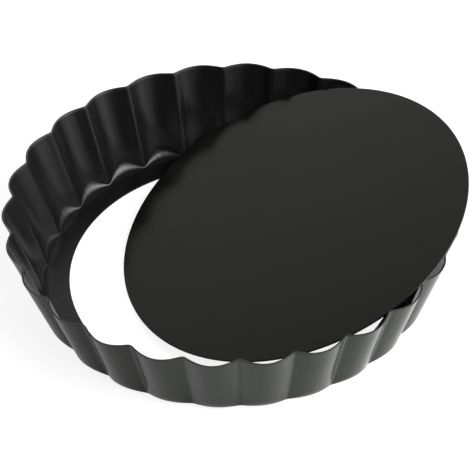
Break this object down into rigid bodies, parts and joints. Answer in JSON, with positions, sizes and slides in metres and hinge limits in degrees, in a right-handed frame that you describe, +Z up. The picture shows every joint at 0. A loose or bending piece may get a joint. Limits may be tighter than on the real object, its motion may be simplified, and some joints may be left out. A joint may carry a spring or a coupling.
{
  "type": "tartlet pan",
  "caption": "Fluted round tartlet pan with a flat loose base, shown lifted out of its seat and leaned in the ring, for baking and releasing a small tart.",
  "frame": {"origin": "centre of the ring's foot, on the plane that the pan stands on and on the axis of the flange's hole", "axes": "+Z up along the ring's axis; +X through a groove between two flutes, on the side where the leaned base rises over the rim"},
  "size_m": [0.1218, 0.12, 0.0318],
  "materials": {
    "ring_coating": "satin black non-stick coating on sheet steel",
    "base_coating": "satin black non-stick coating on sheet steel"
  },
  "bodies": {
    "root": {"fluted_ring": "ring_coating", "loose_base": "base_coating"}
  },
  "joints": []
}
